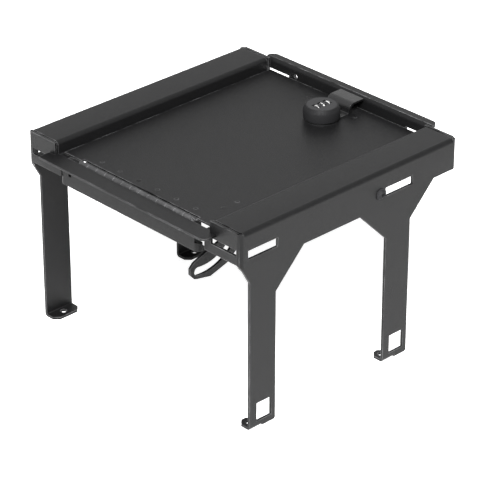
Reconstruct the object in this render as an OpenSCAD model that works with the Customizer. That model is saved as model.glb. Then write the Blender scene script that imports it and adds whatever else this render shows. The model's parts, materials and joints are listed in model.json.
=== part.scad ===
/* [Frame] */
// Width over the outer faces of the two side frames
frame_width = 306; // [270:1:360]
// Depth of the side frames from front end plate to rear end plate
frame_depth = 296; // [285:1:340]
// Height of the rail tops above the floor
frame_height = 218; // [195:1:280]
// Thickness of the bent steel sheet
sheet = 2.8; // [2:0.1:3.2]
// Outside radius of the bends in the steel sheet
bend_radius = 4.5; // [4:0.1:6]
// Width of each rail from its outer face to its inner wall
rail_width = 41; // [36:1:48]
// Depth of the closed lid's top below the rail tops
lid_recess = 12.5; // [11:0.5:16]
// Width of the ledge that the lid lies over
ledge_width = 12; // [9:0.5:14]

/* [Legs] */
// Width of each leg
leg_width = 34; // [28:1:44]
// Distance of the front leg behind the front end plate
front_leg_place = 12.3; // [9:0.1:20]
// Distance of the rear leg behind the front end plate
rear_leg_place = 196.7; // [180:0.1:205]
// Depth of the band below the rail top at the front and rear corners
corner_band = 33.5; // [31:0.5:40]
// Depth of the band below the rail top between the legs
arch_band = 39.5; // [36:0.5:50]
// Reach of the sloping gussets between the legs
arch_gusset = 37; // [20:1:45]
// Drop of the slope from the front corner to the front leg
front_slope = 21.8; // [15:0.1:30]
// Reach of the gusset behind the rear leg
rear_gusset = 33; // [20:1:40]
// Reach of each foot inwards from the outer face of its leg
foot_depth = 17.5; // [16:0.5:24]
// Diameter of the bolt hole in each foot
foot_hole = 6.5; // [5:0.1:7]
// Width of the feet of the right side frame, which has windows above them
right_foot_width = 16; // [14:0.5:20]
// Height of the window above each foot
window_height = 20.5; // [14:0.5:30]
// Width of the window above each foot
window_width = 19.7; // [12:0.1:22]

/* [Slots] */
// Length of the slot above each leg
side_slot_length = 38.3; // [24:0.1:44]
// Height of the slot above each leg
side_slot_height = 9.3; // [6:0.1:10]
// Length of the slot in each end plate
end_slot_length = 34.5; // [20:0.5:35]
// Height of the slot in each end plate
end_slot_height = 6.5; // [4:0.5:7]

/* [Shelf and rear wall] */
// Reach of the hinge shelf in front of the end plates
shelf_reach = 15; // [13:0.5:20]
// Width of the hinge shelf
shelf_width = 240; // [230:1:250]
// Thickness of the hinge shelf
shelf_thickness = 2; // [1.5:0.1:2.5]
// Reach of the rear flange behind the end plates
flange_reach = 11; // [9:0.5:18]
// Width of the rear wall and its flange
rear_wall_width = 237; // [230:1:250]
// Width of the ledge folded from the rear wall
rear_ledge_width = 168; // [150:1:180]
// Depth of the cross bar's lower edge below the rail tops
cross_bar_drop = 37.4; // [34:0.1:40]

/* [Lid] */
// Thickness of the lid
lid_thickness = 2; // [1.6:0.1:3]
// Gap between the lid's side edges and the rails' inner walls
lid_side_gap = 2.4; // [1.5:0.1:4]
// Gap between the lid's rear edge and the rear wall
lid_rear_gap = 2.5; // [2:0.1:4]
// Widest opening of the lid, where the stay stops it, in degrees
lid_opening = 72; // [50:1:72]

/* [Hinge] */
// Number of hinge knuckles, an odd number
knuckle_count = 13; // [9:2:15]
// Length of one hinge knuckle with its gap
knuckle_pitch = 12.5; // [10:0.5:12.5]
// Outside radius of the hinge knuckles
knuckle_radius = 2.5; // [2:0.1:2.6]
// Radius of the hinge pin
hinge_pin_radius = 1.2; // [0.9:0.05:1.3]
// Distance of the hinge axis behind the front end plates
hinge_place = 7; // [7:0.1:8]

/* [Lock] */
// Sideways place of the lock
lock_x = 12; // [-30:1:30]
// Distance of the lock's axis in front of the rear end plates
lock_setback = 48; // [44:1:52]
// Radius of the lock's knob
knob_radius = 19; // [17:0.5:20]
// Height of the lock's knob
knob_height = 12; // [11.5:0.5:15]
// Radius of the number dials
dial_radius = 5; // [4.5:0.1:5.2]
// Distance from one number dial to the next
dial_pitch = 7.6; // [6.5:0.1:8]
// Length of the cam from the lock's axis
cam_length = 43; // [40:1:44]
// Width of the pull tab
pull_width = 32; // [20:1:36]

/* [Lid stay] */
// Radius of the arc along which the stay bolt runs
stay_radius = 48; // [46:0.5:50]
// Width of the slot in the stay
stay_slot = 8.8; // [7:0.1:9]
// Distance of the stay's outer face from the right ledge
stay_inset = 5; // [5:0.5:20]

/* [Hidden] */
$fn = 64;
// Overrun of every cut past the face it cuts
cut = 1;
// Clearance between still pieces that lie beside each other
seam = 0.6;
// Reach of a bend's straight ends into the flat sheet beside it
lap = 0.5;
// Open seam between the rail's top and its end plates
end_seam = 1.6;
// Clearance between pieces that move past each other
play = 0.3;
// Radial clearance of a shaft that turns in its bore
running_fit = 0.05;
coat = [0.13, 0.13, 0.14];
coat_dark = [0.08, 0.08, 0.09];
plated = [0.55, 0.56, 0.58];
chrome = [0.75, 0.76, 0.78];
ink_white = [0.92, 0.92, 0.9];
rubber = [0.05, 0.05, 0.05];

inner_bend = bend_radius - sheet;
half_width = frame_width / 2;
top_z = frame_height;
front_y = -(shelf_reach + frame_depth + flange_reach) / 2 + shelf_reach;
rear_y = front_y + frame_depth;
wall_x = half_width - rail_width;
lid_top = top_z - lid_recess;
lid_under = lid_top - lid_thickness;
ledge_top = lid_under - play;
ledge_under = ledge_top - sheet;
ledge_x = wall_x - ledge_width;
corner_z = top_z - corner_band;
arch_z = top_z - arch_band;

// Legs, feet and the openings in the side plates
leg_places = [front_leg_place, rear_leg_place];
slot_drop = 24.4;
slot_z = top_z - slot_drop;
window_lift = 7;
window_shift = 2;
foot_chamfer = 5.5;
foot_hole_inset = 9.5;
corner_notch = 0.8;
leg_corner = 1.5;
foot_bend = 3.6;
foot_relief = 1;

// End plates
end_plate_tab = 8;
end_plate_x = wall_x - end_plate_tab;
end_slot_drop = 20.7;
end_slot_z = top_z - end_slot_drop;
end_slot_outer = half_width - bend_radius - 2 * seam;

// Shelf, cross bar and rear wall
shelf_under = lid_top - shelf_thickness;
shelf_back = 4.1;
shelf_corner = 7;
small_corner = 2;
leaf_thickness = 1.2;
bar_lead = 4.5;
bar_flange = 9;
bar_end_height = 9;
bar_end_depth = 7;
bar_hole_place = 85;
bar_hole_drop = 8;
bar_top = shelf_under - leaf_thickness;
rear_corner_radius = 8;
rear_relief = 12.3;
tooling_hole = 4.4;
tooling_place = 73.6;
tooling_drop = 10;

// Hinge
hinge_y = front_y + hinge_place;
hinge_z = shelf_under - leaf_thickness + knuckle_radius;
hinge_length = knuckle_count * knuckle_pitch;
knuckle_gap = 0.4;
knuckle_bore = hinge_pin_radius + running_fit;
leaf_clear = knuckle_radius + 0.2 * knuckle_radius;
fixed_leaf_reach = 18;
lid_leaf_reach = 24;
rivet_radius = 1.6;
rivet_head = 2.6;
rivet_head_height = 0.4;
rivet_tail_height = 1.1;
hinge_rivet_pitch = 27;
hinge_rivet_count = 6;
hinge_rivet_place = 16;

// Lid
lid_side = wall_x - lid_side_gap;
lid_end_place = 10.7;
lid_notch_place = 14;
lid_notch_side = hinge_length / 2 + knuckle_radius;
lid_rear = rear_y - lid_rear_gap;

// Lock
lock_y = rear_y - lock_setback;
pull_sheet = 2;
pull_inner_bend = 1.5;
gasket_thickness = 0.8;
flange_thickness = 1.3;
bushing_radius = 8;
bushing_flange = 17;
spindle_radius = 5;
foot_top = lid_top + pull_sheet;
gasket_top = foot_top + gasket_thickness;
flange_top = gasket_top + flange_thickness;
knob_rim = foot_top + play;
knob_low = flange_top + play;
knob_skirt = bushing_flange + play;
knob_top = knob_low + knob_height;
knob_floor = 2;
knob_bevel = 2.3;
knob_foot_bevel = 0.6;
face_radius = 15.2;
face_thickness = 2.2;
face_low = knob_top - face_thickness;
dial_count = 3;
dial_width = 4.6;
dial_proud = 0.5;
dial_z = knob_top + dial_proud - dial_radius;
dial_side_gap = 0.35;
axle_radius = 1;
axle_length = 29;
digit_count = 10;
digit_depth = 0.25;
digit_width = 0.5;
digit_length = 2.6;
pocket_half_x = dial_radius + 0.12 * dial_radius;
pocket_half_y = dial_count * dial_pitch / 2 + dial_side_gap;
reinforcement_thickness = 1.5;
reinforcement_half_x = 45;
reinforcement_front = 20;
reinforcement_rear = 33;
reinforcement_rivet_x = 33;
reinforcement_rivet_y = 26.7;
plate_under = lid_under - reinforcement_thickness;
nut_thickness = 3;
nut_across = 24;
nut_low = plate_under - nut_thickness;
bushing_low = nut_low - play;
cam_thickness = 2.3;
cam_top = bushing_low - play;
cam_low = cam_top - cam_thickness;
cam_width = 14;
cam_hub = 9;
spindle_square = 7;
cam_screw_radius = 2.5;
cam_screw_head = 5;
cam_screw_head_height = 2.4;
cam_screw_depth = 8;

// Pull tab
pull_riser_y = lock_y + 25;
pull_shift = 2;
pull_x = lock_x - pull_shift;
pull_top = top_z - play;
pull_arc = pull_top - foot_top - pull_inner_bend;
pull_end_y = rear_y - lid_rear_gap + seam;
pull_foot_radius = 17.5;

// Side bolts
bolt_place = 188;
bolt_radius = 3;
bolt_hole = 3.2;
bolt_head = 6.3;
bolt_head_height = 3.2;
bolt_rim = 1;
bolt_length = 12;
bolt_socket = 2.2;
bolt_socket_depth = 1.6;
bolt_nut_across = 10;
bolt_nut_thickness = 5;

// Lid stay
stay_x = ledge_x - stay_inset;
stay_thickness = 2.8;
stay_front_angle = -8;
stay_bolt_angle = stay_front_angle + lid_opening;
stay_end_slack = 0.6;
stay_flange = 15;
stay_root_front = 31;
stay_root_rear = 59;
stay_outline_shares = [
    [0.65, -0.33], [0.42, -0.54], [0.07, -0.65], [-0.25, -0.77], [-0.35, -0.87], [-0.35, -1.01],
    [-0.24, -1.135], [-0.17, -1.155], [0.19, -1.225], [0.65, -1.09], [1.04, -0.79], [1.23, -0.46]
];
stay_bolt_radius = stay_slot / 2 - play;
stay_bolt_head = 7;
stay_bolt_head_height = 3;
stay_bolt_play = 0.4;
stay_bolt_y = hinge_y + stay_radius * sin(stay_bolt_angle);
stay_bolt_z = hinge_z - stay_radius * cos(stay_bolt_angle);
stay_rivet_inset = 7;
stay_rivet_spread = 9;
bracket_gap = 2.5;
bracket_half = 9;
bracket_low = 10;
bracket_reach = 13;
bracket_x = stay_x + bracket_gap;
bracket_thread = 3;
bracket_hole = 3.1;

// Small helpers for bent sheet

// A bend's cross-section round the origin, in the quadrant of +X and +Y, with short straight ends
module quarter_bend(outer, thickness) {
    intersection() {
        difference() {
            circle(r = outer);
            circle(r = outer - thickness);
        }
        square(outer);
    }
    area([outer - thickness, -lap], [outer, 0]);
    area([-lap, outer - thickness], [0, outer]);
}

// Draws a cross-section in X and Z and carries it along Y from one place to another
module along_y(from, to) {
    translate([0, to, 0])
        rotate([90, 0, 0])
            linear_extrude(height = to - from)
                children();
}

// Draws a cross-section in Y and Z and carries it along X from one place to another
module along_x(from, to) {
    translate([from, 0, 0])
        rotate([90, 0, 90])
            linear_extrude(height = to - from)
                children();
}

// A rectangle from its low corner to its high corner
module area(low, high) {
    polygon([low, [high[0], low[1]], high, [low[0], high[1]]]);
}

// A block from its low corner to its high corner
module block(low, high) {
    translate(low)
        cube(high - low);
}

// A six-sided nut's outline, given across its flats
module hexagon(across) {
    circle(d = across / cos(180 / 6), $fn = 6);
}

// Side frame: legs, band, rail, end plates and feet folded from one sheet

function side_outline() = [
    [front_y, corner_z],
    [front_y + front_leg_place, corner_z - front_slope],
    [front_y + front_leg_place, 0],
    [front_y + front_leg_place + leg_width - leg_corner, 0],
    [front_y + front_leg_place + leg_width, leg_corner],
    [front_y + front_leg_place + leg_width, arch_z - arch_gusset],
    [front_y + front_leg_place + leg_width + arch_gusset, arch_z],
    [front_y + rear_leg_place - arch_gusset, arch_z],
    [front_y + rear_leg_place, arch_z - arch_gusset],
    [front_y + rear_leg_place, 0],
    [front_y + rear_leg_place + leg_width - leg_corner, 0],
    [front_y + rear_leg_place + leg_width, leg_corner],
    [front_y + rear_leg_place + leg_width, corner_z - rear_gusset],
    [front_y + rear_leg_place + leg_width + rear_gusset, corner_z],
    [rear_y, corner_z],
    [rear_y, top_z],
    [front_y, top_z]
];

module side_plate_openings(foot_width, windows) {
    for (place = leg_places) {
        leg_front = front_y + place;
        middle = leg_front + leg_width / 2;
        translate([middle, slot_z])
            square([side_slot_length, side_slot_height], center = true);
        if (windows)
            translate([middle + window_shift - window_width / 2, window_lift])
                square([window_width, window_height]);
        area([leg_front - cut, -cut], [leg_front + foot_width + foot_relief, foot_bend]);
    }
    translate([front_y + bolt_place, slot_z])
        circle(r = bolt_hole);
}

module corner_column(side) {
    mirror([0, side, 0])
        translate([half_width - bend_radius, (side == 0 ? rear_y : -front_y) - bend_radius, 0])
            linear_extrude(height = top_z - corner_notch)
                quarter_bend(bend_radius, sheet);
}

module side_plate(foot_width, windows) {
    difference() {
        intersection() {
            union() {
                block([half_width - sheet, front_y + bend_radius, 0],
                      [half_width, rear_y - bend_radius, top_z - bend_radius]);
                corner_column(0);
                corner_column(1);
            }
            along_x(half_width - bend_radius - cut, half_width + cut)
                polygon(side_outline());
        }
        along_x(half_width - sheet - cut, half_width + cut)
            side_plate_openings(foot_width, windows);
    }
}

module rail_top() {
    along_y(front_y + bend_radius + seam, rear_y - bend_radius - seam)
        translate([half_width - bend_radius, top_z - bend_radius])
            quarter_bend(bend_radius, sheet);
    along_y(front_y + sheet + end_seam, rear_y - sheet - end_seam) {
        area([wall_x + bend_radius, top_z - sheet], [half_width - bend_radius, top_z]);
        translate([wall_x + bend_radius, top_z - bend_radius])
            mirror([1, 0])
                quarter_bend(bend_radius, sheet);
        area([wall_x, ledge_top + inner_bend], [wall_x + sheet, top_z - bend_radius]);
        translate([wall_x - inner_bend, ledge_top + inner_bend])
            mirror([0, 1])
                quarter_bend(bend_radius, sheet);
        area([ledge_x, ledge_under], [wall_x - inner_bend, ledge_top]);
    }
}

module end_plate_face() {
    difference() {
        polygon([
            [end_plate_x, corner_z],
            [half_width - bend_radius, corner_z],
            [half_width - bend_radius, top_z],
            [wall_x, top_z],
            [wall_x, ledge_top],
            [end_plate_x, ledge_top]
        ]);
        translate([end_slot_outer - end_slot_length, end_slot_z - end_slot_height / 2])
            square([end_slot_length, end_slot_height]);
    }
}

module foot(place, width) {
    leg_front = front_y + place;
    foot_rear = leg_front + width;
    inner = half_width - foot_depth;
    along_y(leg_front, foot_rear)
        translate([half_width - foot_bend, foot_bend])
            mirror([0, 1])
                quarter_bend(foot_bend, sheet);
    difference() {
        linear_extrude(height = sheet)
            polygon([
                [half_width - foot_bend, leg_front],
                [half_width - foot_bend, foot_rear],
                [inner + foot_chamfer, foot_rear],
                [inner, foot_rear - foot_chamfer],
                [inner, leg_front + foot_chamfer],
                [inner + foot_chamfer, leg_front]
            ]);
        translate([half_width - foot_hole_inset, leg_front + width / 2, -cut])
            cylinder(d = foot_hole, h = sheet + 2 * cut);
    }
}

module side_frame(foot_width, windows) {
    side_plate(foot_width, windows);
    rail_top();
    along_y(front_y, front_y + sheet)
        end_plate_face();
    along_y(rear_y - sheet, rear_y)
        end_plate_face();
    for (place = leg_places)
        foot(place, foot_width);
}

module right_side_frame() {
    color(coat)
        side_frame(right_foot_width, true);
}

module left_side_frame() {
    color(coat)
        mirror([1, 0, 0])
            side_frame(leg_width, false);
}

// Hinge shelf: a flat sheet with one well-rounded corner

module hinge_shelf() {
    nose = front_y - shelf_reach;
    half = shelf_width / 2;
    color(coat)
        translate([0, 0, shelf_under])
            linear_extrude(height = shelf_thickness) {
                area([small_corner - half, nose], [half - shelf_corner, front_y]);
                area([-half, nose + small_corner], [half - shelf_corner, front_y]);
                area([half - shelf_corner - lap, nose + shelf_corner], [half, front_y]);
                translate([half - shelf_corner, nose + shelf_corner])
                    circle(r = shelf_corner);
                translate([small_corner - half, nose + small_corner])
                    circle(r = small_corner);
                area([seam - wall_x, front_y - lap], [wall_x - seam, front_y + shelf_back]);
            }
}

// Cross bar that ties the frame below the shelf

module front_cross_bar() {
    face = front_y - bar_lead;
    half = ledge_x - seam;
    low = top_z - cross_bar_drop;
    color(coat_dark)
        difference() {
            union() {
                along_x(bend_radius - half, half - bend_radius) {
                    area([face, low], [face + sheet, bar_top - bend_radius]);
                    translate([face + bend_radius, bar_top - bend_radius])
                        mirror([1, 0])
                            quarter_bend(bend_radius, sheet);
                    area([face + bend_radius, bar_top - sheet], [face + bar_flange, bar_top]);
                }
                for (side = [0, 1])
                    mirror([side, 0, 0])
                        translate([0, 0, low])
                            linear_extrude(height = bar_end_height) {
                                translate([half - bend_radius, face + bend_radius])
                                    mirror([0, 1])
                                        quarter_bend(bend_radius, sheet);
                                area([half - sheet, face + bend_radius], [half, face + bar_end_depth]);
                            }
            }
            translate([-bar_hole_place, face - cut, bar_top - bar_hole_drop])
                rotate([-90, 0, 0])
                    cylinder(d = tooling_hole, h = sheet + 2 * cut);
        }
}

// Rear wall with its rounded flange above and the lid's ledge below

module rear_flange_outline() {
    half = rear_wall_width / 2;
    back = rear_y + flange_reach;
    area([-half, rear_y + bend_radius], [half, back - rear_corner_radius]);
    area([rear_corner_radius - half, rear_y + bend_radius], [half - rear_corner_radius, back]);
    for (side = [-1, 1])
        translate([side * (half - rear_corner_radius), back - rear_corner_radius])
            intersection() {
                circle(r = rear_corner_radius);
                translate([-rear_corner_radius, bend_radius + rear_corner_radius - flange_reach])
                    square([2 * rear_corner_radius, flange_reach - bend_radius]);
            }
}

module rear_wall() {
    half = rear_wall_width / 2;
    ledge_half = rear_ledge_width / 2;
    color(coat)
        difference() {
            union() {
                translate([0, 0, top_z - sheet])
                    linear_extrude(height = sheet)
                        rear_flange_outline();
                along_x(-half, half) {
                    translate([rear_y + bend_radius, top_z - bend_radius])
                        mirror([1, 0])
                            quarter_bend(bend_radius, sheet);
                    area([rear_y, top_z - rear_relief], [rear_y + sheet, top_z - bend_radius]);
                }
                along_x(-ledge_half, ledge_half) {
                    area([rear_y, ledge_top + inner_bend], [rear_y + sheet, top_z - bend_radius]);
                    translate([rear_y - inner_bend, ledge_top + inner_bend])
                        mirror([0, 1])
                            quarter_bend(bend_radius, sheet);
                    area([rear_y - ledge_width, ledge_under], [rear_y - inner_bend, ledge_top]);
                }
            }
            translate([-tooling_place, rear_y - cut, top_z - tooling_drop])
                rotate([-90, 0, 0])
                    cylinder(d = tooling_hole, h = sheet + 2 * cut);
        }
}

// Continuous hinge

function knuckle_start(index) = -hinge_length / 2 + index * knuckle_pitch + knuckle_gap / 2;

module knuckles(first, tongue_from, tongue_to) {
    for (index = [first : 2 : knuckle_count - 1]) {
        start = knuckle_start(index);
        finish = start + knuckle_pitch - knuckle_gap;
        along_x(start, finish)
            difference() {
                union() {
                    translate([hinge_y, hinge_z])
                        circle(r = knuckle_radius);
                    area([tongue_from, hinge_z - knuckle_radius],
                         [tongue_to, hinge_z - knuckle_radius + leaf_thickness]);
                }
                translate([hinge_y, hinge_z])
                    circle(r = knuckle_bore);
            }
    }
}

module fixed_hinge_leaf() {
    edge = hinge_y - leaf_clear;
    color(plated) {
        block([-hinge_length / 2, hinge_y - fixed_leaf_reach, hinge_z - knuckle_radius],
              [hinge_length / 2, edge, hinge_z - knuckle_radius + leaf_thickness]);
        knuckles(0, edge - lap, hinge_y);
    }
}

module lid_hinge_leaf() {
    edge = hinge_y + leaf_clear;
    color(plated)
        difference() {
            union() {
                block([-hinge_length / 2, edge, hinge_z - knuckle_radius],
                      [hinge_length / 2, hinge_y + lid_leaf_reach, hinge_z - knuckle_radius + leaf_thickness]);
                knuckles(1, hinge_y, edge + lap);
            }
            hinge_rivet_places()
                translate([0, 0, -cut])
                    cylinder(r = rivet_radius, h = top_z);
        }
}

module hinge_pin() {
    color(plated)
        translate([-hinge_length / 2, hinge_y, hinge_z])
            rotate([0, 90, 0])
                cylinder(r = hinge_pin_radius, h = hinge_length);
}

module hinge_rivet_places() {
    for (index = [0 : hinge_rivet_count - 1])
        translate([(index - (hinge_rivet_count - 1) / 2) * hinge_rivet_pitch, hinge_y + hinge_rivet_place, 0])
            children();
}

// A rivet from the low side of its tail to the lid's top, with a flat head above
module rivet(low, high) {
    translate([0, 0, low - rivet_tail_height])
        cylinder(r = rivet_head, h = rivet_tail_height);
    translate([0, 0, low - rivet_tail_height])
        cylinder(r = rivet_radius, h = high - low + rivet_tail_height + rivet_head_height);
    translate([0, 0, high])
        cylinder(r1 = rivet_head, r2 = rivet_radius, h = rivet_head_height);
}

module hinge_rivets() {
    color(coat)
        hinge_rivet_places()
            rivet(hinge_z - knuckle_radius, lid_top);
}

// Lid

module lid() {
    color(coat)
        difference() {
            translate([0, 0, lid_under])
                linear_extrude(height = lid_thickness)
                    difference() {
                        area([-lid_side, front_y + lid_end_place], [lid_side, lid_rear]);
                        area([-lid_notch_side, front_y + lid_end_place - cut],
                             [lid_notch_side, front_y + lid_notch_place]);
                    }
            translate([lock_x, lock_y, lid_under - cut])
                cylinder(r = bushing_radius, h = lid_thickness + 2 * cut);
            hinge_rivet_places()
                cylinder(r = rivet_radius, h = top_z);
            reinforcement_rivet_places()
                cylinder(r = rivet_radius, h = top_z);
            stay_rivet_places()
                cylinder(r = rivet_radius, h = top_z);
        }
}

// Plate that stiffens the lid round the lock

module reinforcement_rivet_places() {
    for (side = [-1, 1])
        translate([side * reinforcement_rivet_x, lock_y + reinforcement_rivet_y, 0])
            children();
}

module lock_reinforcement() {
    color(coat_dark)
        difference() {
            block([-reinforcement_half_x, lock_y - reinforcement_front, plate_under],
                  [reinforcement_half_x, lock_y + reinforcement_rear, lid_under]);
            translate([lock_x, lock_y, plate_under - cut])
                cylinder(r = bushing_radius, h = reinforcement_thickness + 2 * cut);
            reinforcement_rivet_places()
                cylinder(r = rivet_radius, h = top_z);
        }
}

module reinforcement_rivets() {
    color(coat)
        reinforcement_rivet_places()
            rivet(plate_under, lid_top);
}

// Pull tab, clamped under the lock and rolled back over the lid's rear edge

module pull_tab() {
    color(coat)
        difference() {
            union() {
                along_x(pull_x - pull_width / 2, pull_x + pull_width / 2) {
                    area([lock_y, lid_top], [pull_riser_y - pull_inner_bend, foot_top]);
                    translate([pull_riser_y - pull_inner_bend, foot_top + pull_inner_bend])
                        mirror([0, 1])
                            quarter_bend(pull_inner_bend + pull_sheet, pull_sheet);
                    translate([pull_riser_y + pull_arc, foot_top + pull_inner_bend])
                        mirror([1, 0])
                            quarter_bend(pull_arc, pull_sheet);
                    area([pull_riser_y + pull_arc, pull_top - pull_sheet], [pull_end_y, pull_top]);
                }
                translate([lock_x, lock_y, lid_top])
                    cylinder(r = pull_foot_radius, h = pull_sheet);
            }
            translate([lock_x, lock_y, lid_top - cut])
                cylinder(r = bushing_radius, h = pull_sheet + 2 * cut);
        }
}

// Combination lock

module lock_gasket() {
    color(rubber)
        translate([lock_x, lock_y, foot_top])
            difference() {
                cylinder(r = bushing_flange, h = gasket_thickness);
                translate([0, 0, -cut])
                    cylinder(r = bushing_radius, h = gasket_thickness + 2 * cut);
            }
}

module lock_bushing() {
    color(plated)
        translate([lock_x, lock_y, 0])
            rotate_extrude()
                polygon([
                    [spindle_radius + running_fit, bushing_low],
                    [bushing_radius, bushing_low],
                    [bushing_radius, gasket_top],
                    [bushing_flange, gasket_top],
                    [bushing_flange, flange_top],
                    [spindle_radius + running_fit, flange_top]
                ]);
}

module lock_nut() {
    color(plated)
        translate([lock_x, lock_y, nut_low])
            difference() {
                linear_extrude(height = nut_thickness)
                    hexagon(nut_across);
                translate([0, 0, -cut])
                    cylinder(r = bushing_radius, h = nut_thickness + 2 * cut);
            }
}

module lock_knob() {
    color(coat_dark)
        translate([lock_x, lock_y, 0])
            difference() {
                rotate_extrude()
                    polygon([
                        [0, knob_low],
                        [knob_skirt, knob_low],
                        [knob_skirt, knob_rim],
                        [knob_radius - knob_foot_bevel, knob_rim],
                        [knob_radius, knob_rim + knob_foot_bevel],
                        [knob_radius, knob_top - 2 * knob_bevel],
                        [knob_radius - knob_bevel, knob_top],
                        [0, knob_top]
                    ]);
                translate([0, 0, face_low])
                    cylinder(r = face_radius, h = face_thickness + cut);
                block([-pocket_half_x, -pocket_half_y, knob_low + knob_floor],
                      [pocket_half_x, pocket_half_y, face_low + cut]);
                translate([0, 0, knob_low - cut])
                    cylinder(r = spindle_radius, h = knob_floor + 2 * cut);
                translate([0, axle_length / 2, dial_z])
                    rotate([90, 0, 0])
                        cylinder(r = axle_radius, h = axle_length);
            }
}

module lock_face() {
    window_x = pocket_half_x - 2 * digit_depth;
    color(coat)
        translate([lock_x, lock_y, face_low])
            difference() {
                cylinder(r = face_radius, h = face_thickness);
                for (index = [0 : dial_count - 1])
                    translate([0, (index - (dial_count - 1) / 2) * dial_pitch, 0])
                        block([-window_x, -dial_width / 2 - dial_side_gap, -cut],
                              [window_x, dial_width / 2 + dial_side_gap, face_thickness + cut]);
            }
}

module lock_spindle() {
    color(plated)
        translate([lock_x, lock_y, 0])
            difference() {
                union() {
                    translate([0, 0, bushing_low])
                        cylinder(r = spindle_radius, h = knob_low + knob_floor - bushing_low);
                    translate([-spindle_square / 2, -spindle_square / 2, cam_low])
                        cube([spindle_square, spindle_square, bushing_low - cam_low + lap]);
                }
                translate([0, 0, cam_low - cut])
                    cylinder(r = cam_screw_radius, h = cam_screw_depth + cut);
            }
}

module lock_cam() {
    color(plated)
        translate([lock_x, lock_y, cam_low])
            linear_extrude(height = cam_thickness)
                difference() {
                    union() {
                        circle(r = cam_hub);
                        area([0, -cam_width / 2], [cam_length - cam_width / 2, cam_width / 2]);
                        translate([cam_length - cam_width / 2, 0])
                            circle(r = cam_width / 2);
                    }
                    square(spindle_square, center = true);
                }
}

module cam_screw() {
    color(plated)
        translate([lock_x, lock_y, cam_low]) {
            translate([0, 0, -cam_screw_head_height / 2])
                cylinder(r = cam_screw_radius, h = cam_screw_depth + cam_screw_head_height / 2);
            translate([0, 0, -cam_screw_head_height])
                difference() {
                    cylinder(r = cam_screw_head, h = cam_screw_head_height);
                    translate([0, 0, -cut])
                        linear_extrude(height = cut + cam_screw_head_height / 2)
                            hexagon(cam_screw_radius * 2);
                }
        }
}

module dial_axle() {
    color(plated)
        translate([lock_x, lock_y + axle_length / 2, dial_z])
            rotate([90, 0, 0])
                cylinder(r = axle_radius, h = axle_length);
}

// One number dial, with a groove beside each of its ten numbers
module dial(index) {
    middle = lock_y + (index - (dial_count - 1) / 2) * dial_pitch;
    color(chrome)
        translate([lock_x, middle + dial_width / 2, dial_z])
            rotate([90, 0, 0])
                difference() {
                    cylinder(r = dial_radius, h = dial_width);
                    translate([0, 0, -cut])
                        cylinder(r = axle_radius + running_fit, h = dial_width + 2 * cut);
                    for (digit = [0 : digit_count - 1])
                        rotate([0, 0, (digit + 1 / 2) * 360 / digit_count])
                            block([dial_radius - digit_depth, -digit_width / 2, -cut],
                                  [dial_radius + cut, digit_width / 2, dial_width + cut]);
                }
}

module dial_front() {
    dial(0);
}

module dial_middle() {
    dial(1);
}

module dial_rear() {
    dial(2);
}

// Bolts that hold the safe between the console's side walls

module side_bolt_places() {
    for (side = [0, 1])
        mirror([side, 0, 0])
            translate([half_width, front_y + bolt_place, slot_z])
                rotate([0, 90, 0])
                    children();
}

module side_bolts() {
    color(coat_dark)
        side_bolt_places()
            difference() {
                union() {
                    translate([0, 0, sheet - bolt_length])
                        cylinder(r = bolt_radius, h = bolt_length - sheet + bolt_rim);
                    cylinder(r = bolt_head, h = bolt_rim);
                    translate([0, 0, bolt_rim])
                        cylinder(r1 = bolt_head - bolt_rim, r2 = bolt_radius, h = bolt_head_height - bolt_rim);
                }
                translate([0, 0, bolt_head_height - bolt_socket_depth])
                    linear_extrude(height = bolt_socket_depth + cut)
                        hexagon(2 * bolt_socket);
            }
}

module side_bolt_nuts() {
    color(plated)
        side_bolt_places()
            translate([0, 0, -sheet - bolt_nut_thickness])
                linear_extrude(height = bolt_nut_thickness)
                    difference() {
                        hexagon(bolt_nut_across);
                        circle(r = bolt_radius);
                    }
}

// Lid stay: a slotted quadrant on the lid, a bracket on the rail and the bolt between them

function on_arc(radius, angle) = [hinge_y + radius * sin(angle), hinge_z - radius * cos(angle)];

// The part of a ring round the hinge axis between two angles from straight down
module arc_band(inner, outer, from, to) {
    reach = 2 * outer;
    middle = (from + to) / 2;
    intersection() {
        translate([hinge_y, hinge_z])
            difference() {
                circle(r = outer);
                circle(r = inner);
            }
        polygon([
            on_arc(0, 0),
            on_arc(reach, from),
            on_arc(reach, middle),
            on_arc(reach, to)
        ]);
    }
}

function stay_outline() = [for (share = stay_outline_shares) [hinge_y, hinge_z] + stay_radius * share];

module stay_web_outline() {
    slot_from = stay_front_angle - stay_end_slack;
    slot_to = stay_bolt_angle + stay_end_slack;
    root_top = lid_under - bend_radius;
    difference() {
        polygon(concat(
            [[hinge_y + stay_root_front, root_top]],
            stay_outline(),
            [[hinge_y + stay_root_rear, root_top]]
        ));
        arc_band(stay_radius - stay_slot / 2, stay_radius + stay_slot / 2, slot_from, slot_to);
        for (angle = [slot_from, slot_to])
            translate(on_arc(stay_radius, angle))
                circle(d = stay_slot);
    }
}

module stay_rivet_places() {
    middle = hinge_y + (stay_root_front + stay_root_rear) / 2;
    for (side = [-1, 1])
        translate([stay_x - stay_flange + stay_rivet_inset - bend_radius / 2, middle + side * stay_rivet_spread, 0])
            children();
}

module lid_stay() {
    color(coat_dark)
        difference() {
            union() {
                along_x(stay_x - stay_thickness, stay_x)
                    stay_web_outline();
                along_y(hinge_y + stay_root_front, hinge_y + stay_root_rear) {
                    translate([stay_x - bend_radius, lid_under - bend_radius])
                        quarter_bend(bend_radius, stay_thickness);
                    area([stay_x - stay_flange, lid_under - stay_thickness], [stay_x - bend_radius, lid_under]);
                }
            }
            stay_rivet_places()
                cylinder(r = rivet_radius, h = top_z);
        }
}

module stay_rivets() {
    color(coat)
        stay_rivet_places()
            rivet(lid_under - stay_thickness, lid_top);
}

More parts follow.
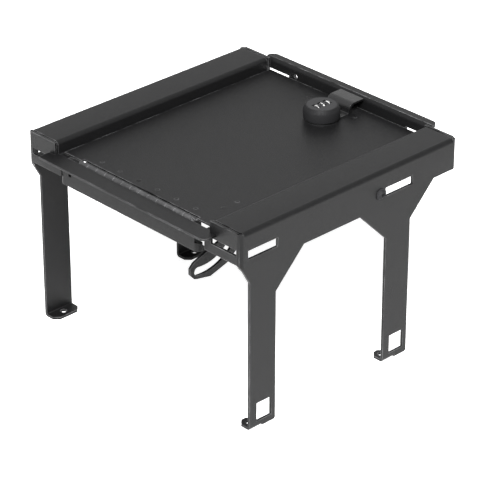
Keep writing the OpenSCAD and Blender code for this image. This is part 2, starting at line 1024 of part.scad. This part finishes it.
module stay_bracket() {
    color(coat_dark)
        difference() {
            union() {
                along_x(bracket_x, bracket_x + sheet)
                    area([stay_bolt_y - bracket_half, stay_bolt_z - bracket_low],
                         [stay_bolt_y + bracket_half, ledge_under - bend_radius]);
                along_y(stay_bolt_y - bracket_half, stay_bolt_y + bracket_half) {
                    translate([bracket_x + bend_radius, ledge_under - bend_radius])
                        mirror([1, 0])
                            quarter_bend(bend_radius, sheet);
                    area([bracket_x + bend_radius, ledge_under - sheet], [bracket_x + bracket_reach, ledge_under]);
                }
            }
            along_x(bracket_x - cut, bracket_x + sheet + cut)
                translate([stay_bolt_y, stay_bolt_z])
                    circle(r = bracket_thread);
        }
}

module stay_bolt() {
    head_face = stay_x - stay_thickness - stay_bolt_play;
    color(plated) {
        along_x(head_face - lap, bracket_x)
            translate([stay_bolt_y, stay_bolt_z])
                circle(r = stay_bolt_radius);
        along_x(bracket_x - lap, bracket_x + sheet + bolt_nut_thickness + cut)
            translate([stay_bolt_y, stay_bolt_z])
                circle(r = bracket_thread);
        along_x(head_face - stay_bolt_head_height, head_face)
            translate([stay_bolt_y, stay_bolt_z])
                circle(r = stay_bolt_head);
    }
}

module stay_bolt_nut() {
    color(plated)
        along_x(bracket_x + sheet, bracket_x + sheet + bolt_nut_thickness)
            translate([stay_bolt_y, stay_bolt_z])
                difference() {
                    hexagon(bolt_nut_across);
                    circle(r = bracket_thread);
                }
}

right_side_frame();
left_side_frame();
hinge_shelf();
front_cross_bar();
rear_wall();
fixed_hinge_leaf();
hinge_pin();
side_bolts();
side_bolt_nuts();
stay_bracket();
stay_bolt();
stay_bolt_nut();
lid();
lid_hinge_leaf();
hinge_rivets();
lock_reinforcement();
reinforcement_rivets();
pull_tab();
lid_stay();
stay_rivets();
lock_gasket();
lock_bushing();
lock_nut();
lock_knob();
lock_face();
lock_spindle();
lock_cam();
cam_screw();
dial_axle();
dial_front();
dial_middle();
dial_rear();
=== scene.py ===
import json
import math
import bmesh
import bpy
from mathutils import Matrix, Vector


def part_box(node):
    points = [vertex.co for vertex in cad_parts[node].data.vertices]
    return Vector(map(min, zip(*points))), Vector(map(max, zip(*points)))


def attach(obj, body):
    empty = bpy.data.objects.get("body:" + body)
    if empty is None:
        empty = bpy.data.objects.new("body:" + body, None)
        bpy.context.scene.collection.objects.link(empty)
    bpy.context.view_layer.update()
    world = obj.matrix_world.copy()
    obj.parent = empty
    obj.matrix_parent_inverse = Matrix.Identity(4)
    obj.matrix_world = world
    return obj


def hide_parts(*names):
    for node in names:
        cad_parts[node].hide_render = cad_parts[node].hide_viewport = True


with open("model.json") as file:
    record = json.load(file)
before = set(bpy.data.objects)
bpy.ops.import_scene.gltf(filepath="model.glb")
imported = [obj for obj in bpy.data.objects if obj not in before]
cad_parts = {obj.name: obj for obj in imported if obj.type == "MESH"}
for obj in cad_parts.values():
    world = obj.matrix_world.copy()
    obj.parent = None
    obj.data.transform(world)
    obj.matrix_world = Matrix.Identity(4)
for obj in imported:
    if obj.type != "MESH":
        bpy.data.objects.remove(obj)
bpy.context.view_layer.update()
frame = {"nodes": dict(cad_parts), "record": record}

bl_info = {
    "name": "Console safe",
    "version": (1, 0, 0),
    "blender": (4, 5, 0),
    "location": "View3D > Sidebar > Console safe",
    "description": "Softened sheet edges, powder coat and dial figures for the packed console safe",
    "category": "Object",
}

# Coated sheet metal and the record's slot that each node takes its finish from
COATED = {
    "right_side_frame": "powder_coat",
    "left_side_frame": "powder_coat",
    "hinge_shelf": "powder_coat",
    "front_cross_bar": "bracket_coat",
    "rear_wall": "powder_coat",
    "lid": "powder_coat",
    "pull_tab": "powder_coat",
    "lid_stay": "bracket_coat",
    "stay_bracket": "bracket_coat",
    "lock_reinforcement": "bracket_coat",
}
COATED_RIVETS = ("hinge_rivets", "reinforcement_rivets", "stay_rivets")
HINGE = ("fixed_hinge_leaf", "lid_hinge_leaf", "hinge_pin")
PLATED = (
    "side_bolt_nuts", "stay_bolt", "stay_bolt_nut", "lock_bushing", "lock_nut", "lock_spindle",
    "lock_cam", "cam_screw", "dial_axle",
)
LOCK = ("lock_knob", "lock_face")
DIALS = ("dial_front", "dial_middle", "dial_rear")

# How the brackets, the tab and the rivets differ from the coat's own settings
BRACKET_ROUGHER = 0.05
# The wear shares and the rivets' wear below scale both edge wear and the painted highlight along the sheet
# edges
BRACKET_WEAR_AND_HIGHLIGHT_SHARE = 0.5
TAB_SMOOTHER = 0.08
TAB_WEAR_AND_HIGHLIGHT_SHARE = 0.3
TAB_SHINE = 0.45
RIVET_WEAR_AND_HIGHLIGHT = 0.2

HINGE_TONE = (0.03, 0.03, 0.031)
BOLT_TONE = (0.014, 0.014, 0.015)
FACE_LIGHTER = 1.6
FACE_SHINE = 0.22

# Meshes: what counts as one point, as flat, as an edge to round and as a bend to shade smoothly
MERGE_DISTANCE = 1e-6
FIGURE_MERGE_DISTANCE = 1e-7
FLAT_ANGLE = math.radians(0.4)
ROUNDED_ANGLE = math.radians(40.0)
SMOOTH_ANGLE = math.radians(32.0)
ROUNDING_STEPS = 2
LOCK_EDGE = 0.0002

# Dial figures: each dial shows the figure that is this many further on than the dial before it
DIGITS = 10
SHOWN_FURTHER_ON = 3
FONT_SIZE_PER_HEIGHT = 1.42
THICKENED_PER_HEIGHT = 0.06
FIGURE_CURVE_STEPS = 6

# How far the middle of a figure's paint stands out of the wheel, as a share of the paint's thickness
PAINT_PROUD_SHARE = 0.35

# Floor, in metres, and what it adds for the rays that see it
FLOOR_REACH = 6.0
FLOOR_GAP = 0.0002
FLOOR_GLOW = 0.86

# World: how bright it is as a light, and where it is seen
WHITE = (1.0, 1.0, 1.0, 1.0)
WORLD_LIGHT = 0.14
WORLD_SEEN = 1.0

# Camera: the picture's side and the point where the camera's axis meets it, in pixels
PICTURE = 480.0
AXIS_COLUMN = 241.97
AXIS_ROW = 225.34

# The point that the camera is turned to, and the nearest that it sees, in metres
AIM = (0.0, 0.002, 0.115)
CLIP_START = 0.05

# The camera's sensor, in millimetres
SENSOR_WIDTH = 36.0

# Numbers of the Mix node's sockets for colours
MIX_SHARE = 0
MIX_LOW = 6
MIX_HIGH = 7
MIX_RESULT = 2


# Shader maths

class Socket:
    """A value that runs through a node tree, with the usual arithmetic"""

    def __init__(self, maker, socket):
        self.maker = maker
        self.socket = socket

    def combined(self, operation, first, second):
        return self.maker.node("ShaderNodeMath", {"operation": operation}, {0: first, 1: second})

    def __add__(self, other):
        return self.combined("ADD", self, other)

    __radd__ = __add__

    def __sub__(self, other):
        return self.combined("SUBTRACT", self, other)

    def __rsub__(self, other):
        return self.combined("SUBTRACT", other, self)

    def __mul__(self, other):
        return self.combined("MULTIPLY", self, other)

    __rmul__ = __mul__

    def or_larger(self, other):
        return self.combined("MAXIMUM", self, other)

    def clamped(self):
        return self.maker.node("ShaderNodeClamp", {}, {"Value": self})

    def swing(self, spread, around=0.0):
        """A noise's value brought to half the spread above and below a middle value"""
        return around + (self - 0.5) * spread


class Nodes:
    """Fills one node tree"""

    def __init__(self, tree):
        self.tree = tree
        tree.nodes.clear()

    def node(self, kind, settings, inputs, out=0):
        """Adds a node, with its settings, such as where a ramp's black and white stand, set first"""
        made = self.tree.nodes.new(kind)
        for key, value in settings.items():
            if key == "stops":
                for element, position in zip(made.color_ramp.elements, value):
                    element.position = position
            else:
                setattr(made, key, value)
        for key, value in inputs.items():
            if isinstance(value, Socket):
                self.tree.links.new(value.socket, made.inputs[key])
            else:
                made.inputs[key].default_value = value
        return Socket(self, made.outputs[out]) if made.outputs else None

    def seen(self):
        """1 for rays from the camera, through glass or off gloss, and 0 for those that light a surface"""
        camera, glass, gloss = (
            self.node("ShaderNodeLightPath", {}, {}, out=name)
            for name in ("Is Camera Ray", "Is Transmission Ray", "Is Glossy Ray")
        )
        return camera.or_larger(glass).or_larger(gloss)


class Finish(Nodes):
    """One material of the safe and the patterns that its surfaces are made of"""

    def __init__(self, name):
        self.material = bpy.data.materials.new(name)
        self.material.use_nodes = True
        super().__init__(self.material.node_tree)
        self.place = self.node("ShaderNodeTexCoord", {}, {}, out="Object")

    def noise(self, scale, detail, roughness=0.5):
        inputs = {"Vector": self.place, "Scale": scale, "Detail": detail, "Roughness": roughness}
        return self.node("ShaderNodeTexNoise", {}, inputs)

    def streaks(self, scales, detail):
        """Noise drawn out into lines, by its own scale along X, Y and Z"""
        drawn_out = self.node("ShaderNodeMapping", {}, {"Vector": self.place, "Scale": scales})
        return self.node("ShaderNodeTexNoise", {}, {"Vector": drawn_out, "Scale": 1.0, "Detail": detail})

    def ramp(self, value, low, high):
        """0 up to the low value, 1 from the high one, and a straight rise between them"""
        return self.node("ShaderNodeValToRGB", {"stops": (low, high)}, {"Fac": value})

    def mix(self, share, low, high):
        inputs = {MIX_SHARE: share, MIX_LOW: low, MIX_HIGH: high}
        return self.node("ShaderNodeMix", {"data_type": "RGBA"}, inputs, out=MIX_RESULT)

    def shades(self, share, tone, low, high):
        """A tone that shifts from low to high times itself"""
        return self.mix(share, scaled(tone, low), scaled(tone, high))

    def edges(self, radius):
        """How sharply the surface turns within a radius: 0 on a flat face, up to 1 on an edge"""
        gain = 6.0
        rounded = self.node("ShaderNodeBevel", {"samples": 6}, {"Radius": radius})
        flat = self.node("ShaderNodeNewGeometry", {}, {}, out="Normal")
        product = {"operation": "DOT_PRODUCT"}
        agree = self.node("ShaderNodeVectorMath", product, {0: rounded, 1: flat}, out="Value")
        return ((1.0 - agree) * gain).clamped()

    def finish(self, colour, roughness, height, bump, depth, **constants):
        """The shader; bump is the share of the height's effect, and depth its size in metres"""
        relief = {"Strength": bump, "Distance": depth, "Height": height}
        inputs = {
            "Base Color": colour,
            "Roughness": roughness,
            "Normal": self.node("ShaderNodeBump", {}, relief),
        }
        for name, value in constants.items():
            inputs[name.replace("_", " ")] = value
        surface = self.node("ShaderNodeBsdfPrincipled", {}, inputs)
        self.node("ShaderNodeOutputMaterial", {}, {"Surface": surface})
        return self.material


def rgba(colour):
    return (*colour, 1.0)


def scaled(tone, factor):
    return rgba([c * factor for c in tone])


# Materials

def powder_coat(name, tone, roughness, wear_and_painted_highlight, shine=0.13):
    """Satin black powder coat: fine orange peel, slow shifts of tone, dust, and sheet edges painted pale,
    partly as wear and partly as a painted highlight where the rounded edges catch light
    """
    made = Finish(name)
    dust_share = 0.3
    dust_gain = 2.6
    dust_lift = 0.01
    dust_roughness = 0.06
    peel_height = 0.8
    grain_height = 0.35
    dusty_tone = rgba([c * dust_gain + dust_lift for c in tone])
    # Pale tone of the sheet edges: partly wear, partly a painted highlight
    rubbed_tone = rgba((0.2, 0.2, 0.205))

    peel = made.noise(scale=900.0, detail=3.0, roughness=0.55)
    grain = made.noise(scale=3200.0, detail=1.0)
    cloud = made.noise(scale=9.0, detail=4.0, roughness=0.6)
    dust = made.ramp(made.noise(scale=420.0, detail=6.0, roughness=0.7), low=0.55, high=0.75)
    patches = made.ramp(made.noise(scale=60.0, detail=5.0), low=0.35, high=0.65)
    # Edge mask in patches: real wear, and a painted highlight along the rounded sheet edges
    rubbed_and_highlit = (made.edges(radius=0.001) * wear_and_painted_highlight * patches).clamped()

    colour = made.shades(cloud, tone, low=0.82, high=1.22)
    colour = made.mix(dust * dust_share, colour, dusty_tone)
    # Paints the edges pale, as wear and as a painted highlight
    colour = made.mix(rubbed_and_highlit, colour, rubbed_tone)
    uneven = (roughness + cloud.swing(0.12) + grain.swing(0.14) + dust * dust_roughness).clamped()
    height = peel * peel_height + grain * grain_height
    return made.finish(colour, uneven, height, bump=0.75, depth=0.0003, Specular_IOR_Level=shine)


def worn_hinge(name, tone):
    """Coated hinge steel, rubbed brighter where the knuckles turn"""
    made = Finish(name)
    rub_share = 0.35
    edge_share = 0.9
    rubbed_tone = rgba((0.1, 0.1, 0.102))
    edge_tone = rgba((0.3, 0.3, 0.31))

    fine = made.noise(scale=2400.0, detail=2.0)
    rub = made.ramp(made.noise(scale=160.0, detail=6.0, roughness=0.65), low=0.46, high=0.62)
    edge = (made.edges(radius=0.0005) * edge_share).clamped()

    colour = made.mix(rub * rub_share, rgba(tone), rubbed_tone)
    colour = made.mix(edge, colour, edge_tone)
    uneven = fine.swing(0.2, around=0.42)
    return made.finish(colour, uneven, fine, bump=0.2, depth=0.0001, Metallic=0.35)


def zinc_plate(name, tone):
    """Zinc-plated steel with patches of a faint yellow cast and fine scratches"""
    made = Finish(name)
    yellowed = (1.08, 1.05, 0.95)
    cast_tone = rgba([c * factor for c, factor in zip(tone, yellowed)])
    cast = made.noise(scale=70.0, detail=3.0)
    scratches = made.streaks(scales=(3000.0, 260.0, 260.0), detail=2.0)
    colour = made.mix(cast, scaled(tone, 0.85), cast_tone)
    uneven = scratches.swing(0.25, around=0.3)
    return made.finish(colour, uneven, scratches, bump=0.12, depth=0.00006, Metallic=1.0)


def lock_black(name, tone, shine=0.1):
    """Cast and painted lock metal, without the peel of the sheet's coat"""
    made = Finish(name)
    edge_share = 0.12
    edge_tone = rgba((0.14, 0.14, 0.145))
    fine = made.noise(scale=1500.0, detail=2.0)
    cloud = made.noise(scale=40.0, detail=3.0)
    edge = (made.edges(radius=0.0004) * edge_share).clamped()
    colour = made.mix(edge, made.shades(cloud, tone, low=0.85, high=1.2), edge_tone)
    uneven = fine.swing(0.14, around=0.5)
    return made.finish(colour, uneven, fine, bump=0.2, depth=0.00008, Specular_IOR_Level=shine)


def dial_black(name, tone):
    """Dark plated dial wheels with lines left by turning"""
    made = Finish(name)
    lines = made.streaks(scales=(120.0, 9000.0, 120.0), detail=1.0)
    colour = made.shades(lines, tone, low=0.7, high=1.3)
    uneven = lines.swing(0.15, around=0.3)
    return made.finish(colour, uneven, lines, bump=0.1, depth=0.00004, Metallic=0.6)


def figure_paint(name, tone):
    """White paint of the dial figures, a little uneven"""
    made = Finish(name)
    patch = made.noise(scale=2600.0, detail=3.0)
    colour = made.shades(patch, tone, low=0.93, high=1.0)
    uneven = patch.swing(0.2, around=0.42)
    return made.finish(colour, uneven, patch, bump=0.1, depth=0.00003)


def gasket_rubber(name, tone):
    """Matte black rubber with a moulded grain"""
    made = Finish(name)
    grain = made.noise(scale=1800.0, detail=4.0, roughness=0.6)
    colour = made.shades(grain, tone, low=0.8, high=1.3)
    uneven = grain.swing(0.15, around=0.78)
    return made.finish(colour, uneven, grain, bump=0.25, depth=0.0001)


def floor_material(tone):
    """Pale floor that keeps the safe's shadow and glows for the rays that see it"""
    material = bpy.data.materials.new("floor")
    material.use_nodes = True
    made = Nodes(material.node_tree)
    matte = made.node("ShaderNodeBsdfDiffuse", {}, {"Color": rgba(tone)})
    glow = made.node("ShaderNodeEmission", {}, {"Color": WHITE, "Strength": made.seen() * FLOOR_GLOW})
    both = made.node("ShaderNodeAddShader", {}, {0: matte, 1: glow})
    made.node("ShaderNodeOutputMaterial", {}, {"Surface": both})
    return material


# Meshes

def merged_copy(node, name):
    """A CAD node's shape as one clean mesh: doubles merged and flat faces made whole"""
    mesh = frame["nodes"][node].data.copy()
    mesh.name = name
    bm = bmesh.new()
    bm.from_mesh(mesh)
    bmesh.ops.remove_doubles(bm, verts=bm.verts, dist=MERGE_DISTANCE)
    bmesh.ops.dissolve_limit(
        bm, angle_limit=FLAT_ANGLE, verts=bm.verts, edges=bm.edges, use_dissolve_boundaries=False)
    bm.to_mesh(mesh)
    bm.free()
    piece = bpy.data.objects.new(name, mesh)
    bpy.context.scene.collection.objects.link(piece)
    return piece


def soften(piece, width):
    """Rounds the sharp sheet edges with a real bevel and shades the bends smoothly"""
    bevel = piece.modifiers.new("edge", "BEVEL")
    bevel.limit_method = "ANGLE"
    bevel.angle_limit = ROUNDED_ANGLE
    bevel.width = width
    bevel.segments = ROUNDING_STEPS
    for polygon in piece.data.polygons:
        polygon.use_smooth = True
    piece.data.set_sharp_from_angle(angle=SMOOTH_ANGLE)


def figure_mesh(digit, height, depth):
    """One upright figure as a thin mesh, centred on the origin, facing +Z"""
    curve = bpy.data.curves.new("figure", "FONT")
    curve.body = str(digit)
    curve.size = height * FONT_SIZE_PER_HEIGHT
    curve.extrude = depth / 2.0
    curve.align_x = "CENTER"
    curve.offset = height * THICKENED_PER_HEIGHT
    curve.resolution_u = FIGURE_CURVE_STEPS
    text = bpy.data.objects.new("figure", curve)
    bpy.context.scene.collection.objects.link(text)
    bpy.context.view_layer.update()
    mesh = bpy.data.meshes.new_from_object(text)
    bpy.data.objects.remove(text)
    low = Vector([min(v.co[i] for v in mesh.vertices) for i in range(3)])
    high = Vector([max(v.co[i] for v in mesh.vertices) for i in range(3)])
    mesh.transform(Matrix.Translation(-(low + high) / 2.0))
    return mesh


def ring_of_figures(name, figures, middle, reach, shown):
    """The figures in one mesh, evenly round an axis along Y through the middle, the shown one on top"""
    upright = Matrix.Rotation(math.radians(90.0), 4, "Z")
    out = Matrix.Translation((0.0, 0.0, reach))
    bm = bmesh.new()
    for step, figure in enumerate(figures):
        angle = (step - shown) * math.tau / len(figures)
        part = figure.copy()
        part.transform(Matrix.Translation(middle) @ Matrix.Rotation(angle, 4, "Y") @ out @ upright)
        bm.from_mesh(part)
        bpy.data.meshes.remove(part)
    bmesh.ops.remove_doubles(bm, verts=bm.verts, dist=FIGURE_MERGE_DISTANCE)
    bmesh.ops.recalc_face_normals(bm, faces=bm.faces)
    mesh = bpy.data.meshes.new(name)
    bm.to_mesh(mesh)
    bm.free()
    return mesh


def body_of_node(node):
    return next(body for body, nodes in frame["record"]["behaviour"]["bodies"].items() if node in nodes)


def dress(piece, material):
    piece.data.materials.clear()
    piece.data.materials.append(material)


def area_light(name, place, target, size, watts):
    light = bpy.data.lights.new(name, "AREA")
    light.shape = "RECTANGLE"
    light.size, light.size_y = size
    light.energy = watts
    lamp = bpy.data.objects.new(name, light)
    lamp.location = place
    lamp.rotation_euler = (Vector(target) - Vector(place)).to_track_quat("-Z", "Y").to_euler()
    bpy.context.scene.collection.objects.link(lamp)


# Settings

def colour_setting(name, description, default):
    return bpy.props.FloatVectorProperty(
        name=name, description=description, subtype="COLOR", size=3, min=0.0, max=1.0, default=default)


def length_setting(name, description, low, high, default):
    return bpy.props.FloatProperty(
        name=name, description=description, subtype="DISTANCE", unit="LENGTH", min=low, max=high,
        default=default)


class SafeFinish(bpy.types.PropertyGroup):
    coat: colour_setting("Powder coat", "Colour of the coated sheet steel", (0.005, 0.005, 0.0052))
    coat_roughness: bpy.props.FloatProperty(
        name="Coat roughness", description="Roughness of the powder coat", min=0.1, max=1.0, default=0.36)
    # Sets both the edge wear and the painted highlight along the sheet edges
    coat_wear: bpy.props.FloatProperty(
        name="Edge wear", description="How bright the sheet edges are", min=0.0, max=1.0, default=0.8)
    plate: colour_setting("Zinc plate", "Colour of the plated steel inside", (0.52, 0.53, 0.55))
    lock: colour_setting("Lock", "Colour of the lock's knob; its face is lighter", (0.009, 0.009, 0.0095))
    dials: colour_setting("Dials", "Colour of the dial wheels", (0.03, 0.03, 0.032))
    figures: colour_setting("Figures", "Colour of the figures on the dials", (0.5, 0.5, 0.49))
    gasket: colour_setting("Gasket", "Colour of the gasket under the lock", (0.015, 0.015, 0.015))


class SafeSizes(bpy.types.PropertyGroup):
    edge: length_setting("Sheet edge", "Rounding of the cut sheet's edges", 0.0001, 0.0008, 0.0003)
    figure_height: length_setting("Figure height", "Height of the dials' figures", 0.001, 0.003, 0.0028)
    figure_depth: length_setting("Figure depth", "How thick a figure's paint is", 0.00002, 0.0002, 0.00006)


class SafeStage(bpy.types.PropertyGroup):
    floor: colour_setting("Floor", "Colour of the floor", (0.85, 0.85, 0.85))
    azimuth: bpy.props.FloatProperty(
        name="Azimuth", description="Camera's way round from the front, in degrees", default=46.36)
    elevation: bpy.props.FloatProperty(
        name="Elevation", description="Camera's height angle, in degrees", default=28.2)
    distance: length_setting("Distance", "Camera's distance from the safe", 0.5, 10.0, 2.623)
    lens: bpy.props.FloatProperty(
        name="Lens", description="Focal length of the camera in millimetres", min=20.0, max=400.0,
        default=194.8)


# Operators

class SAFE_OT_sheet_metal(bpy.types.Operator):
    """Side frames, shelf, cross bar, rear wall, lid, tab, stay, brackets and rivets in powder coat"""
    bl_idname = "safe.sheet_metal"
    bl_label = "Sheet metal"

    def execute(self, context):
        finish = context.scene.safe_finish
        tone = finish.coat
        roughness = finish.coat_roughness
        wear_and_painted_highlight = finish.coat_wear
        coats = {
            "powder_coat": powder_coat("powder_coat", tone, roughness, wear_and_painted_highlight),
            "bracket_coat": powder_coat(
                "bracket_coat", tone, roughness + BRACKET_ROUGHER, wear_and_painted_highlight * BRACKET_WEAR_AND_HIGHLIGHT_SHARE),
        }
        tab = powder_coat("tab_coat", tone, roughness - TAB_SMOOTHER, wear_and_painted_highlight * TAB_WEAR_AND_HIGHLIGHT_SHARE, TAB_SHINE)
        for node, slot in COATED.items():
            piece = merged_copy(node, node + "_dressed")
            soften(piece, context.scene.safe_sizes.edge)
            dress(piece, tab if node == "pull_tab" else coats[slot])
            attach(piece, body_of_node(node))
            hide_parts(node)
        # The rivets take a smaller share of the edge wear and painted edge highlight
        rivets = powder_coat("rivet_coat", tone, roughness, RIVET_WEAR_AND_HIGHLIGHT)
        for node in COATED_RIVETS:
            dress(frame["nodes"][node], rivets)
        return {"FINISHED"}


class SAFE_OT_hinge(bpy.types.Operator):
    """The continuous hinge's leaves and pin"""
    bl_idname = "safe.hinge"
    bl_label = "Hinge"

    def execute(self, context):
        material = worn_hinge("hinge_steel", HINGE_TONE)
        for node in HINGE:
            dress(frame["nodes"][node], material)
        return {"FINISHED"}


class SAFE_OT_hardware(bpy.types.Operator):
    """Bolts, nuts, bushing, spindle, cam, dial axle and gasket"""
    bl_idname = "safe.hardware"
    bl_label = "Hardware"

    def execute(self, context):
        finish = context.scene.safe_finish
        plate = zinc_plate("plated_steel", finish.plate)
        for node in PLATED:
            dress(frame["nodes"][node], plate)
        dress(frame["nodes"]["side_bolts"], lock_black("bolt_black", BOLT_TONE))
        dress(frame["nodes"]["lock_gasket"], gasket_rubber("gasket_rubber", finish.gasket))
        return {"FINISHED"}


class SAFE_OT_lock(bpy.types.Operator):
    """The lock's knob and face"""
    bl_idname = "safe.lock"
    bl_label = "Lock"

    def execute(self, context):
        tone = context.scene.safe_finish.lock
        black = lock_black("lock_black", tone)
        face = lock_black("lock_face", [c * FACE_LIGHTER for c in tone], FACE_SHINE)
        for node in LOCK:
            piece = merged_copy(node, node + "_dressed")
            soften(piece, LOCK_EDGE)
            dress(piece, face if node == "lock_face" else black)
            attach(piece, body_of_node(node))
            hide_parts(node)
        return {"FINISHED"}


class SAFE_OT_dials(bpy.types.Operator):
    """Three number wheels with painted figures nought to nine"""
    bl_idname = "safe.dials"
    bl_label = "Dials"

    def execute(self, context):
        finish = context.scene.safe_finish
        sizes = context.scene.safe_sizes
        black = dial_black("dial_metal", finish.dials)
        paint = figure_paint("figure_paint", finish.figures)
        figures = [figure_mesh(digit, sizes.figure_height, sizes.figure_depth) for digit in range(DIGITS)]
        for place, node in enumerate(DIALS):
            dress(frame["nodes"][node], black)
            low, high = (Vector(corner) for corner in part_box(node))
            reach = (high.z - low.z) / 2.0 + sizes.figure_depth * PAINT_PROUD_SHARE
            name = node + "_figures"
            mesh = ring_of_figures(name, figures, (low + high) / 2.0, reach, place * SHOWN_FURTHER_ON)
            piece = bpy.data.objects.new(name, mesh)
            context.scene.collection.objects.link(piece)
            dress(piece, paint)
            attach(piece, body_of_node(node))
        for figure in figures:
            bpy.data.meshes.remove(figure)
        return {"FINISHED"}


class SAFE_OT_stage(bpy.types.Operator):
    """Floor, soft lamps, pale world and the camera at the photograph's angle"""
    bl_idname = "safe.stage"
    bl_label = "Stage"

    def execute(self, context):
        scene = context.scene
        stage = scene.safe_stage
        bm = bmesh.new()
        bmesh.ops.create_grid(bm, x_segments=1, y_segments=1, size=FLOOR_REACH)
        bmesh.ops.translate(bm, verts=bm.verts, vec=(0.0, 0.0, -FLOOR_GAP))
        mesh = bpy.data.meshes.new("floor")
        bm.to_mesh(mesh)
        bm.free()
        floor = bpy.data.objects.new("floor", mesh)
        scene.collection.objects.link(floor)
        dress(floor, floor_material(stage.floor))

        world = bpy.data.worlds.new("studio")
        scene.world = world
        world.use_nodes = True
        made = Nodes(world.node_tree)
        strength = WORLD_LIGHT + made.seen() * (WORLD_SEEN - WORLD_LIGHT)
        background = made.node("ShaderNodeBackground", {}, {"Color": WHITE, "Strength": strength})
        made.node("ShaderNodeOutputWorld", {}, {"Surface": background})

        area_light("key", place=(1.3, -1.4, 2.3), target=(0.3, -0.3, 0.0), size=(1.2, 1.2), watts=262.0)
        area_light("front", place=(-0.3, -2.6, 0.9), target=(0.0, 0.0, 0.12), size=(1.0, 0.6), watts=18.0)
        area_light("rear", place=(-0.8, 1.9, 1.7), target=(0.0, 0.0, 0.15), size=(1.2, 0.6), watts=2.0)

        view = bpy.data.cameras.new("camera")
        view.sensor_width = SENSOR_WIDTH
        view.lens = stage.lens
        view.shift_x = (PICTURE / 2.0 - AXIS_COLUMN) / PICTURE
        view.shift_y = (AXIS_ROW - PICTURE / 2.0) / PICTURE
        view.clip_start = CLIP_START
        camera = bpy.data.objects.new("camera", view)
        scene.collection.objects.link(camera)
        azimuth = math.radians(stage.azimuth)
        elevation = math.radians(stage.elevation)
        level = math.cos(elevation)
        back = Vector((math.sin(azimuth) * level, -math.cos(azimuth) * level, math.sin(elevation)))
        camera.location = Vector(AIM) + back * stage.distance
        camera.rotation_euler = (-back).to_track_quat("-Z", "Y").to_euler()
        scene.camera = camera
        scene.view_settings.view_transform = "Standard"
        return {"FINISHED"}


class SAFE_PT_panel(bpy.types.Panel):
    """Lists the safe's settings and its operators"""
    bl_idname = "SAFE_PT_panel"
    bl_label = "Console safe"
    bl_space_type = "VIEW_3D"
    bl_region_type = "UI"
    bl_category = "Console safe"

    def draw(self, context):
        layout = self.layout
        for group in (context.scene.safe_sizes, context.scene.safe_finish, context.scene.safe_stage):
            box = layout.box()
            for name in group.__annotations__:
                box.prop(group, name)
        for operator in OPERATORS:
            layout.operator(operator.bl_idname)


GROUPS = (SafeFinish, SafeSizes, SafeStage)
OPERATORS = (
    SAFE_OT_sheet_metal, SAFE_OT_hinge, SAFE_OT_hardware, SAFE_OT_lock, SAFE_OT_dials, SAFE_OT_stage,
)
REGISTERED = (*GROUPS, *OPERATORS, SAFE_PT_panel)


def register():
    for kind in REGISTERED:
        bpy.utils.register_class(kind)
    bpy.types.Scene.safe_finish = bpy.props.PointerProperty(type=SafeFinish)
    bpy.types.Scene.safe_sizes = bpy.props.PointerProperty(type=SafeSizes)
    bpy.types.Scene.safe_stage = bpy.props.PointerProperty(type=SafeStage)


def unregister():
    del bpy.types.Scene.safe_stage
    del bpy.types.Scene.safe_sizes
    del bpy.types.Scene.safe_finish
    for kind in reversed(REGISTERED):
        bpy.utils.unregister_class(kind)


def main():
    register()
    bpy.ops.safe.sheet_metal()
    bpy.ops.safe.hinge()
    bpy.ops.safe.hardware()
    bpy.ops.safe.lock()
    bpy.ops.safe.dials()
    bpy.ops.safe.stage()


if __name__ == "__main__":
    main()
